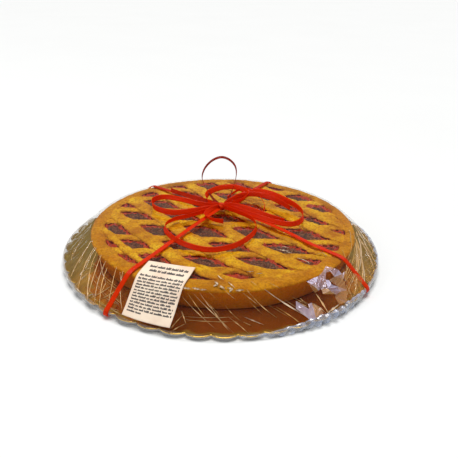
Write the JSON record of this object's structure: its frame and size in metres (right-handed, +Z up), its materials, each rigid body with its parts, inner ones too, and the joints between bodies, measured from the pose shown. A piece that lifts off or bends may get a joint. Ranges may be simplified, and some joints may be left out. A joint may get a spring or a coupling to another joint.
{
  "type": "wrapped jam lattice tart",
  "caption": "Round baked jam tart with a pastry lattice on a scalloped gold board, wrapped in clear film, tied crosswise with red ribbon and a bow, with a paper label.",
  "frame": {"origin": "under the middle of the board, on the surface that the parcel stands on", "axes": "+Z up, -Y towards the side with the label, +X to the right as seen from that side"},
  "size_m": [0.3214, 0.3212, 0.0765],
  "materials": {
    "gold_board": "shiny gold foil face on grey card",
    "crust": "baked shortcrust pastry, golden brown, stands in as matte",
    "jam": "baked dark plum jam, wrinkled and glossy",
    "lattice_pastry": "baked pastry strips, golden yellow, egg washed",
    "clear_film": "clear wrapping film, wrinkled, glossy",
    "label_paper": "uncoated cream paper with greeked rows",
    "red_ribbon": "glossy red-orange curling ribbon with fine ribs"
  },
  "bodies": {
    "root": {"board": "gold_board", "crust": "crust", "jam": "jam", "strip_under_1": "lattice_pastry", "strip_under_2": "lattice_pastry", "strip_under_3": "lattice_pastry", "strip_under_4": "lattice_pastry", "strip_under_5": "lattice_pastry", "strip_under_6": "lattice_pastry", "strip_under_7": "lattice_pastry", "strip_over_1": "lattice_pastry", "strip_over_2": "lattice_pastry", "strip_over_3": "lattice_pastry", "strip_over_4": "lattice_pastry", "strip_over_5": "lattice_pastry", "strip_over_6": "lattice_pastry", "strip_over_7": "lattice_pastry", "film": "clear_film", "label": "label_paper", "ribbon": "red_ribbon", "bow": "red_ribbon"}
  },
  "joints": []
}
